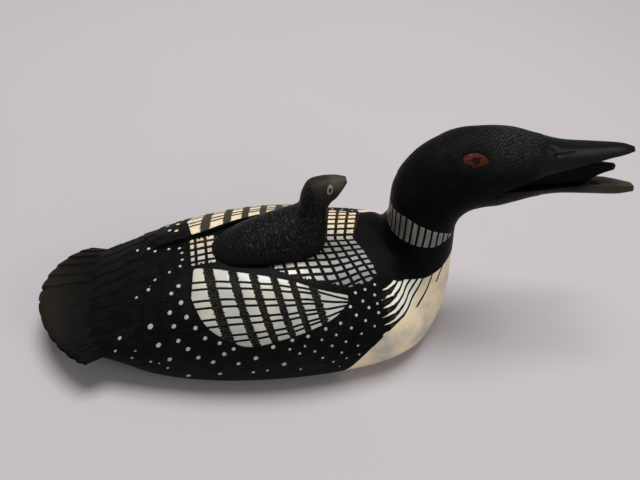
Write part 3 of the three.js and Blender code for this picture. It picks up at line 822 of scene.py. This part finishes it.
def net_mask(t, m):
    """Pale cells of the net between dark columns and rows, with a toothed border."""
    column_gap = t.sub(t.mul(t.line(m.column), NET_COLUMN), t.add(0.34, t.mul(m.unsure, 0.8)))
    row_gap = t.sub(t.mul(t.line(t.add(m.row, 0.5)), NET_ROW), t.add(0.31, t.mul(m.unsure, 0.8)))
    teeth = t.mul(t.sub(t.random(t.floor(t.mul(m.x, 3.2)), 9.0, 0.0), 0.35), 0.75)
    border = t.edge(t.sub(m.in_net, t.high(teeth, 0.0)), 0.1)
    return t.low(t.edge(column_gap, 0.08), t.edge(row_gap, 0.08), border)


def collar_mask(t, m):
    """Pale bars round the neck."""
    bar_gap = t.sub(t.mul(t.line(m.bar), BAR_STEP), t.add(0.28, t.mul(m.unsure, 0.6)))
    return t.low(t.edge(bar_gap, 0.08), t.edge(t.add(m.in_collar, m.unsure), 0.12))


def strip_mask(t, m):
    """Pale strips beside the breast, nicked where the dark between them is wide."""
    nick = t.mul(t.sub(t.random(t.floor(t.mul(m.across, 3.4)), 5.0, 0.0), 0.5), 0.13)
    nick = t.mul(nick, t.ramp(m.strip_dark, 0.12, 0.3))
    strip_gap = t.sub(t.line(m.strip), t.add(m.strip_dark, nick))
    return t.low(t.edge(strip_gap, 0.035), t.edge(m.in_strips, 0.1))


def breast_line(t, m, strip, lean, half_width, end_z, end_slope):
    """Gap from a single dark line, which follows one strip number plus the height times the lean, and
    stops at the height of its lower end."""
    beside = t.sub(m.strip, t.add(strip, t.mul(m.z, lean)))
    return t.high(t.sub(t.sum("ABSOLUTE", beside), half_width), t.mul(t.sub(end_z, m.z), end_slope))


def bare_mask(t, m):
    """Bare breast and underside, apart from the two single dark lines on the breast."""
    line_gap = t.low(breast_line(t, m, *LONG_LINE), breast_line(t, m, *SHORT_LINE))
    beside_lines = t.high(t.edge(line_gap, 0.05), t.edge(t.sub(10.0, m.x), 0.1))
    return t.low(t.edge(t.add(m.bare, m.unsure), 0.12), beside_lines)


def dot_mask(t, m):
    """Pale dots: inside each dot's radius."""
    away = t.mul(t.sum("SQRT", t.add(t.mul(m.dot_x, m.dot_x), t.mul(m.dot_q, m.dot_q))), 1.06)
    dot_gap = t.sub(m.dot_size, t.add(away, t.mul(m.unsure, 0.5)))
    return t.low(t.edge(dot_gap, 0.1), t.edge(t.sub(m.dot_size, 0.12), 0.05))


def is_part(t, m, number):
    """1 on the piece with this number, and 0 elsewhere."""
    return t.edge(t.sub(0.6, t.sum("ABSOLUTE", t.sub(m.part, float(number)))), 0.1)


def ivory_colour(t, m, dyes):
    """Ivory: cool and greyish on the near wing, warm on the breast and the far side, whiter in the strips,
    greyer on the near side of the net towards the front, and darkened in the collar by painted shade from the
    head."""
    cloud = t.noise(m.form, 0.16, 3)
    warm = t.high(t.mul(t.ramp(m.y, -3.0, 7.0), 0.8), t.mul(t.ramp(cloud, 0.45, 0.75), 0.35),
                  t.mul(m.bare_mask, t.ramp(cloud, 0.2, 0.6)))
    hatch = t.ramp(t.line(t.mul(t.add(m.z, t.mul(m.x, -0.7)), 2.0)), 0.36, 0.14)
    # The net's cells turn grey on the near side towards the front, by the neck.
    near_net_greying = t.mul(t.edge(m.in_net, 0.3), t.ramp(m.x, -9.0, 1.0), t.ramp(m.y, 3.0, -3.0), 0.75)
    bar_grain = t.noise(t.vector(t.mul(m.across, 2.2), t.mul(m.z, 0.3), 0.0), 1.0, 3, 0.6)
    # Painted shade: the collar's pale bars are painted dark for the shade under the head, varied by the
    # grain.
    bars = t.mul(t.edge(m.in_collar, 0.5), t.between(t.ramp(bar_grain, 0.35, 0.7), 1.0, 0.6))
    return t.paint(
        t.blend(warm, dyes.ivory, dyes.cream),
        (t.mul(t.ramp(m.grain, 0.5, 0.8), 0.35), dyes.ivory_shade),
        (t.mul(hatch, m.strip_mask, 0.3), dyes.ivory_shade),
        (t.mul(m.strip_mask, t.ramp(m.y, 0.0, -4.0)), dyes.strip_ivory),
        (near_net_greying, dyes.near_net_grey),
        (bars, dyes.collar_ivory_painted_shade))


def dark_colour(t, m, dyes):
    """Dark dye: nearly black, brownish where it is thin, with paler strokes that are calmer forwards."""
    patchy = t.noise(m.form, 0.35, 3)
    worn = t.mul(t.ramp(t.line(t.mul(m.strip, 3.0)), 0.3, 0.12), t.ramp(m.x, 14.5, 11.5),
                 t.ramp(m.x, 8.0, 10.5), t.edge(m.in_strips, 0.3),
                 t.ramp(t.noise(m.form, 0.9, 2), 0.35, 0.6))
    far_net = t.mul(t.edge(m.in_net, 0.2), t.ramp(m.y, 0.0, 4.0), t.ramp(patchy, 0.3, 0.7))
    tail_end = t.ramp(t.add(m.x, t.mul(patchy, 6.0)), -50.0, -60.0)
    return t.paint(
        t.blend(t.ramp(patchy, 0.4, 0.75), dyes.black, dyes.charcoal),
        (t.mul(t.ramp(m.barb, 0.55, 0.72), t.between(m.calm, 0.8, 0.3)), dyes.stroke),
        (t.mul(worn, 0.25), dyes.stain),
        (t.mul(m.in_band, t.ramp(m.y, 2.0, 7.0), 0.8), dyes.brown),
        (t.mul(m.rungs, 0.8), dyes.brown),
        (far_net, dyes.line_brown),
        (t.mul(tail_end, 0.55), dyes.tail_brown))


def head_stitches(t, m):
    """Rows of short upright strokes on the head, each row shifted by chance, and the luck of each stroke."""
    row = t.mul(m.along, 2.5)
    shift = t.mul(t.random(t.floor(row), 1.0, 2.0), 3.0)
    column = t.add(t.mul(m.across, 1.15), shift)
    stitch = t.mul(t.ramp(t.line(row, 0.5), 0.45, 0.2), t.ramp(t.line(column, 0.5), 0.46, 0.34))
    luck = t.random(t.floor(row), t.floor(column), 0.0)
    return t.mul(stitch, t.mul(m.head, t.ramp(m.x, 42.5, 38.0))), luck


def head_colour(t, m, dark, luck, dyes):
    """Strokes painted palest on the forehead and the top of the head as a painted highlight, a smooth bill
    with a pale tip, and a greenish grey inner bill.
    """
    # Painted highlight: the strokes grow paler towards the top and front of the head, where the light falls.
    forehead_highlight = t.mul(t.ramp(m.z, 42.5, 48.5), t.add(0.25, t.mul(t.ramp(m.x, 25.0, 34.0), 0.75)))
    pale_stitch = t.mul(m.stitches, t.mul(forehead_highlight, t.add(0.35, t.mul(luck, 0.65))))
    return t.paint(
        dark,
        (t.mul(pale_stitch, 0.52), dyes.stitch),
        (m.bill, dyes.bill),
        (t.mul(m.bill, t.ramp(m.x, 61.8, 63.4), t.ramp(m.z, 46.4, 47.4), 0.35), dyes.cream),
        (t.mul(m.bill, t.ramp(m.x, 50.0, 56.0), t.ramp(m.z, 41.0, 40.0), 0.6), dyes.lower_bill),
        (t.mul(is_part(t, m, 2), t.ramp(m.x, 57.6, 59.4), 0.8), dyes.lower_bill))


def eye_colour(t, m, dyes):
    """Mask of the almond eye, by the formula of eye_place, and its speckled reddish brown."""
    across = t.sum("ABSOLUTE", t.mul(t.sub(m.x, EYE_X), 1 / EYE_HALF_LENGTH))
    up = t.mul(t.sub(m.z, EYE_Z), 1 / EYE_HALF_HEIGHT)
    eye = t.add(t.mul(t.sum("POWER", across, 1.4), 0.75), t.mul(t.mul(across, across), 0.25))
    eye = t.add(eye, t.add(t.mul(up, up), t.mul(m.unsure, 1.6)))
    speck = t.mul(t.ramp(t.noise(m.form, 1.6, 3), 0.56, 0.66), t.ramp(m.x, 26.5, 24.5), 0.5)
    red = t.paint(
        t.blend(speck, dyes.eye, dyes.eye_speck),
        (t.ramp(t.noise(m.form, 1.3, 2), 0.55, 0.7), dyes.pupil),
        (t.edge(t.sub(0.2, eye), 0.12), dyes.pupil))
    return t.mul(t.edge(t.sub(1.0, eye), 0.1), m.head), red


def engraved_height(t, m):
    """Height of the fine relief: ivory stands over the dye, with strokes, rungs, stitches and barbs."""
    strokes = t.mul(t.mul(t.sub(1.0, m.pale), t.sub(1.0, m.bill)), t.mul(m.barb, 0.8))
    barbs = t.line(t.add(t.mul(m.x, 2.3), t.mul(t.line(t.add(m.band, 0.5)), 3.4)))
    barbs = t.mul(barbs, t.ramp(t.noise(m.form, 0.5, 2), 0.35, 0.65))
    return t.add(t.mul(m.pale, 0.7), strokes, t.mul(m.rungs, 0.45), t.mul(m.stitches, 0.9),
                 t.mul(m.grain, 0.06), t.mul(is_part(t, m, 1), t.mul(barbs, 0.5)))


def loon_material(dyes):
    """Ivory with dyed and engraved plumage. Every marking is drawn from the vector attributes of the mesh:
    a pale mask for the patch, net, collar, strips, breast and dots, over dark dye with fine strokes. Last,
    brown dye has soaked into some of the pale far side."""
    t = Tree("engraved ivory")
    m = loon_markings(t)
    m.strip_mask = strip_mask(t, m)
    m.bare_mask = bare_mask(t, m)
    m.pale = t.high(wing_mask(t, m), net_mask(t, m), collar_mask(t, m), m.strip_mask, dot_mask(t, m),
                    m.bare_mask)
    m.grain = t.noise(t.vector(t.mul(m.x, 0.35), t.mul(m.y, 1.6), t.mul(m.z, 1.6)), 1.3, 5, 0.6)
    m.barb = t.noise(t.vector(t.mul(m.along, 0.35), t.mul(m.across, 3.0), 0.0), 1.0, 4, 0.65)
    m.calm = t.ramp(m.x, -8.0, 2.0)
    m.head = t.ramp(m.along, *HEAD_FADE)
    m.bill = t.mul(m.head, t.ramp(m.x, 38.5, 43.5))
    m.in_band = t.low(t.edge(t.sub(0.2, t.line(m.band)), 0.1), t.edge(m.in_wing, 0.2))
    rung_line = t.ramp(t.line(t.mul(m.across, 2.3)), 0.3, 0.14)
    m.rungs = t.mul(m.in_band, t.mul(rung_line, t.ramp(t.noise(m.form, 2.2, 2), 0.38, 0.58)))
    m.stitches, luck = head_stitches(t, m)
    dark = head_colour(t, m, dark_colour(t, m, dyes), luck, dyes)
    iris, red = eye_colour(t, m, dyes)
    soak = t.mul(m.pale, t.ramp(m.y, -2.0, 3.0), t.ramp(t.noise(m.form, 1.6, 2), 0.52, 0.7), 0.5)
    colour = t.paint(dark, (m.pale, ivory_colour(t, m, dyes)), (iris, red), (soak, dyes.stain))
    satin = t.between(m.bill, t.between(m.pale, 0.46, 0.3), 0.33)
    satin = t.add(satin, t.mul(t.sub(m.grain, 0.5), 0.12))
    upper_bill = t.mul(m.bill, t.ramp(m.z, 40.0, 42.0))
    gloss = t.between(m.pale, t.between(upper_bill, t.between(m.calm, 0.05, 0.03), 0.14), 0.5)
    return t.finish(colour, satin, engraved_height(t, m), 0.00013, Specular_IOR_Level=gloss,
                    Subsurface_Weight=0.06, Subsurface_Scale=0.0012)


def chick_material(dyes):
    """Dark dye all over, with scratchy pale ticks on the back that are painted palest higher up as a painted
    highlight, a brownish head and an oval eye ring.
    """
    t = Tree("dark ivory")
    along, across, _ = t.marking("flow")
    x, y, z = t.marking("form")
    patchy = t.noise(t.vector(x, y, z), 0.6, 3)
    tick = t.noise(t.vector(t.mul(along, 2.6), t.mul(across, 1.1), 0.0), 1.0, 3, 0.65)
    head = t.ramp(along, 32.0, 37.0)
    up = t.sub(z, CHICK_EYE_Z)
    eye_x = t.mul(t.add(t.sub(x, CHICK_EYE_X), t.mul(up, -CHICK_EYE_SLANT)), 1 / CHICK_EYE_HALF_LENGTH)
    eye_z = t.mul(up, 1 / CHICK_EYE_HALF_HEIGHT)
    eye = t.sum("SQRT", t.add(t.mul(eye_x, eye_x), t.mul(eye_z, eye_z)))
    ring = t.mul(t.edge(t.sub(0.3, t.sum("ABSOLUTE", t.sub(eye, 1.0))), 0.2), head)
    colour = t.paint(
        t.blend(t.ramp(patchy, 0.35, 0.75), dyes.black, dyes.charcoal),
        # The ticks are real scratches; their pale colour, kept to the upper back, is painted highlight.
        (t.mul(t.ramp(tick, 0.56, 0.66), t.ramp(z, 24.0, 29.0), 0.6), dyes.stitch),
        (t.mul(head, 0.65), dyes.tail_brown),
        (t.mul(t.ramp(along, 38.5, 40.2), 0.5), dyes.lower_bill),
        (t.mul(ring, 0.55), dyes.ivory_shade))
    height = t.add(t.mul(tick, 0.9), t.mul(ring, -0.6))
    return t.finish(colour, t.between(patchy, 0.42, 0.55), height, 0.00014, Specular_IOR_Level=0.1)


def finish_piece(piece, name, material):
    """Names the joined piece, gives it its material and smooths it, apart from its sharp edges."""
    mesh = piece.data
    piece.name = mesh.name = name
    mesh.materials.clear()
    mesh.materials.append(material)
    mesh.polygons.foreach_set("use_smooth", np.ones(len(mesh.polygons), bool))
    mesh.set_sharp_from_angle(angle=math.radians(SHARP_ANGLE))


# Settings
def length(name, description, default, high):
    return bpy.props.FloatProperty(name=name, description=description, default=default, min=0.0, max=high,
                                   precision=5, unit="LENGTH")


class CarvingSizes(bpy.types.PropertyGroup):
    """Sizes of the carving that a user may change."""

    wing_raise: length("Wing raise", "How far the folded wings stand over the back", 0.001, 0.003)
    carving_depth: length("Carving depth", "Depth of the bands, scallops and grooves", 0.00012, 0.0005)
    tail_feathers: bpy.props.IntProperty(
        name="Tail feathers", description="Number of feathers in the fan", default=14, min=8, max=40)
    tail_tip: length("Tail tips", "How far each feather's rounded tip stands out", 0.0004, 0.002)
    tail_step: length("Tail step", "How far each tail feather stands over the next one out", 0.00045, 0.001)


def dye(name, description, default):
    return bpy.props.FloatVectorProperty(name=name, description=description, default=default, size=3,
                                         subtype="COLOR", min=0.0, max=1.0)


class CarvingDyes(bpy.types.PropertyGroup):
    """Colours of the ivory and of its dyes; the collar's colour holds painted shade."""

    ivory: dye("Ivory", "Polished ivory on the near wing", (0.41, 0.41, 0.375))
    strip_ivory: dye("Strips", "Whiter ivory of the strips beside the breast", (0.80, 0.77, 0.66))
    # Grey given to the net's cells on the near side towards the front.
    near_net_grey: dye("Net", "Duller ivory of the net in front of the chick", (0.13, 0.137, 0.126))
    # Painted shade: the collar's ivory is this dark for the shade that the head casts on it.
    collar_ivory_painted_shade: dye("Collar", "Brownish ivory of the bars round the neck", (0.125, 0.115, 0.092))
    ivory_shade: dye("Ivory grain", "Darker streaks in the ivory", (0.34, 0.33, 0.28))
    cream: dye("Cream", "Warm ivory of the breast and the far wing", (0.92, 0.745, 0.48))
    stain: dye("Stain", "Brown dye that has soaked into the ivory", (0.30, 0.19, 0.09))
    line_brown: dye("Line brown", "Brown dye in the lines of the far net", (0.055, 0.026, 0.010))
    black: dye("Black", "Full black dye", (0.0026, 0.0027, 0.0026))
    charcoal: dye("Charcoal", "Thinner black dye", (0.0046, 0.0048, 0.0043))
    stroke: dye("Stroke", "Fine worn strokes in the black", (0.017, 0.018, 0.015))
    brown: dye("Band brown", "Rungs of the wing's dark bands", (0.055, 0.045, 0.030))
    tail_brown: dye("Tail brown", "Worn dye at the end of the tail", (0.026, 0.020, 0.014))
    stitch: dye("Stitch", "Short pale strokes on the head", (0.085, 0.092, 0.080))
    bill: dye("Bill", "Smooth charcoal of the bill", (0.0044, 0.0055, 0.0052))
    lower_bill: dye("Inner bill", "Greenish grey inside of the lower bill", (0.070, 0.064, 0.040))
    eye: dye("Eye", "Reddish brown eye", (0.080, 0.018, 0.012))
    eye_speck: dye("Eye speck", "Pale specks in the eye", (0.22, 0.12, 0.09))
    pupil: dye("Pupil", "Dark middle of the eye", (0.014, 0.007, 0.006))


class CarvingStudio(bpy.types.PropertyGroup):
    """Floor and lights."""

    floor: dye("Floor", "Colour of the plain floor", (0.475, 0.44, 0.45))
    key_power: bpy.props.FloatProperty(
        name="Key light", description="Power of the large soft light", default=3.0, min=0.0, unit="POWER")
    fill_power: bpy.props.FloatProperty(
        name="Fill light", description="Power of the soft light from the right", default=0.8, min=0.0,
        unit="POWER")
    daylight: bpy.props.FloatProperty(
        name="Daylight", description="Strength of the even light all round", default=0.28, min=0.0,
        subtype="FACTOR")


# Operators
class CARVING_OT_loon(bpy.types.Operator):
    """Build the loon: body, tail fan, open bill and tongue, with its engraved ivory"""

    bl_idname = "carving.loon"
    bl_label = "Loon"

    def execute(self, context):
        sizes = context.scene.carving_sizes
        loon = grid_object("engraved_loon", *loon_body(sizes))
        combine(loon, grid_object("tail", *tail_fan(sizes)), "UNION")
        combine(loon, grid_object("gape", *gape_wedge()), "DIFFERENCE")
        points, marks = swept_piece(TONGUE_RINGS, 40, 16, 2)
        combine(loon, grid_object("tongue", pose_head(points, 1.0), marks), "UNION")
        finish_piece(loon, "engraved_loon", loon_material(context.scene.carving_dyes))
        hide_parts("loon")
        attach(loon, "root")
        return {"FINISHED"}


class CARVING_OT_chick(bpy.types.Operator):
    """Build the chick that sits on the loon's back"""

    bl_idname = "carving.chick"
    bl_label = "Chick"

    def execute(self, context):
        chick = grid_object("dark_chick", *swept_piece(CHICK_RINGS, 130, 64, 4))
        points, marks = swept_piece(LOON_RINGS[:12], 200, 80, 5)
        combine(chick, grid_object("seat", points + [0, 0, CHICK_JOINT], marks), "DIFFERENCE")
        finish_piece(chick, "dark_chick", chick_material(context.scene.carving_dyes))
        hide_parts("chick")
        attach(chick, "root")
        return {"FINISHED"}


def soft_light(name, place, aim, size, power):
    light = bpy.data.lights.new(name, "AREA")
    light.shape = "DISK"
    light.size = size
    light.energy = power
    lamp = add_object(name, light)
    back = np.array(place, float) - np.array(aim, float)
    back /= np.linalg.norm(back)
    lamp.location = place
    lamp.rotation_euler = (math.acos(back[2]), 0, math.atan2(back[1], back[0]) + math.pi / 2)


class CARVING_OT_studio(bpy.types.Operator):
    """Add the floor, the soft lights and the camera"""

    bl_idname = "carving.studio"
    bl_label = "Studio"

    def execute(self, context):
        scene = context.scene
        studio = scene.carving_studio
        corners = np.array([[-1, -1, 0], [1, -1, 0], [1, 1, 0], [-1, 1, 0]]) * FLOOR_REACH
        mesh = bpy.data.meshes.new("floor")
        mesh.from_pydata(corners, [], [(0, 1, 2, 3)])
        floor = add_object("floor", mesh)
        t = Tree("floor")
        place = t.nodes.new("ShaderNodeTexCoord").outputs["Object"]
        mottle = t.noise(place, 12.0, 3)
        darker = [c * 0.85 for c in studio.floor]
        colour = t.blend(t.mul(t.ramp(mottle, 0.3, 0.7), 0.12), studio.floor, darker)
        mesh.materials.append(t.finish(colour, 0.8, mottle, 0.0001))
        soft_light("key light", KEY_PLACE, (0, 0, 0.01), LIGHT_SIZE, studio.key_power)
        soft_light("fill light", FILL_PLACE, (0, 0, 0.02), LIGHT_SIZE, studio.fill_power)
        scene.view_settings.view_transform = "Standard"
        world = bpy.data.worlds.new("daylight")
        world.use_nodes = True
        background = world.node_tree.nodes["Background"]
        background.inputs["Color"].default_value = (0.92, 0.95, 1.0, 1.0)
        background.inputs["Strength"].default_value = studio.daylight
        scene.world = world
        camera_data = bpy.data.cameras.new("camera")
        camera_data.sensor_width = 36.0
        camera_data.lens = CAMERA_LENS
        camera_data.clip_start = 0.005
        camera = add_object("camera", camera_data)
        camera.location = CAMERA_PLACE
        camera.rotation_euler = [math.radians(a) for a in CAMERA_TURN]
        scene.camera = camera
        return {"FINISHED"}


class CARVING_PT_panel(bpy.types.Panel):
    """Sidebar panel with the carving's sizes, dyes and operators"""

    bl_idname = "CARVING_PT_panel"
    bl_label = "Ivory Loon Carving"
    bl_space_type = "VIEW_3D"
    bl_region_type = "UI"
    bl_category = "Carving"

    def draw(self, context):
        scene = context.scene
        for group in (scene.carving_sizes, scene.carving_dyes, scene.carving_studio):
            box = self.layout.box()
            for title in group.__annotations__:
                box.prop(group, title)
        for operator in OPERATORS:
            self.layout.operator(operator.bl_idname)


OPERATORS = (CARVING_OT_loon, CARVING_OT_chick, CARVING_OT_studio)
GROUPS = {"carving_sizes": CarvingSizes, "carving_dyes": CarvingDyes, "carving_studio": CarvingStudio}


def register():
    for one in (*GROUPS.values(), *OPERATORS, CARVING_PT_panel):
        bpy.utils.register_class(one)
    for title, group in GROUPS.items():
        setattr(bpy.types.Scene, title, bpy.props.PointerProperty(type=group))


def unregister():
    for title in GROUPS:
        delattr(bpy.types.Scene, title)
    for one in (CARVING_PT_panel, *reversed(OPERATORS), *reversed(GROUPS.values())):
        bpy.utils.unregister_class(one)


def main():
    register()
    bpy.ops.carving.loon()
    bpy.ops.carving.chick()
    bpy.ops.carving.studio()


if __name__ == "__main__":
    main()
